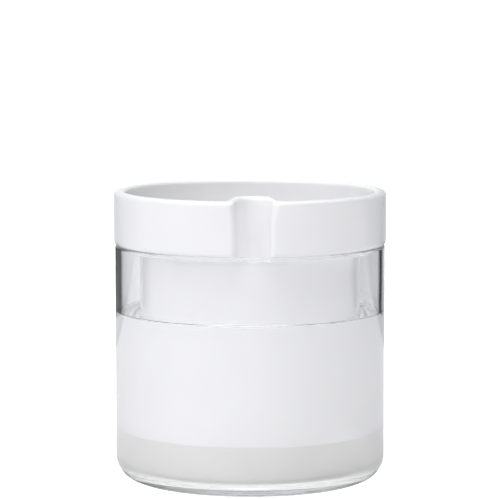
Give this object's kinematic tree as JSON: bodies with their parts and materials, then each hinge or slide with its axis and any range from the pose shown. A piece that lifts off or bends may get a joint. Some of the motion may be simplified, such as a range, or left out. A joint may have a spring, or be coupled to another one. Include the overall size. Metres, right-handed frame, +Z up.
{
  "type": "self watering planter",
  "caption": "Round planter: a white ceramic pot with a fill channel in its collar hangs in a clear glass water reservoir and drinks through its unglazed base.",
  "frame": {"origin": "centre of the glass reservoir's flat base, on the surface it stands on", "axes": "+Z up along the planter's axis, the fill channel faces -Y"},
  "size_m": [0.152, 0.1513, 0.1639],
  "materials": {
    "clear_glass": "clear, fire-polished",
    "white_glaze": "glossy white glaze",
    "unglazed_ceramic": "matte, unglazed and porous"
  },
  "bodies": {
    "reservoir": {"glass_reservoir": "clear_glass"},
    "pot": {"glazed_pot": "white_glaze", "porous_base": "unglazed_ceramic"}
  },
  "joints": [
    {"name": "pot_lift", "type": "slide", "parent": "reservoir", "child": "pot", "axis": [0, 0, 1], "range_m": [0, 0.15]}
  ]
}
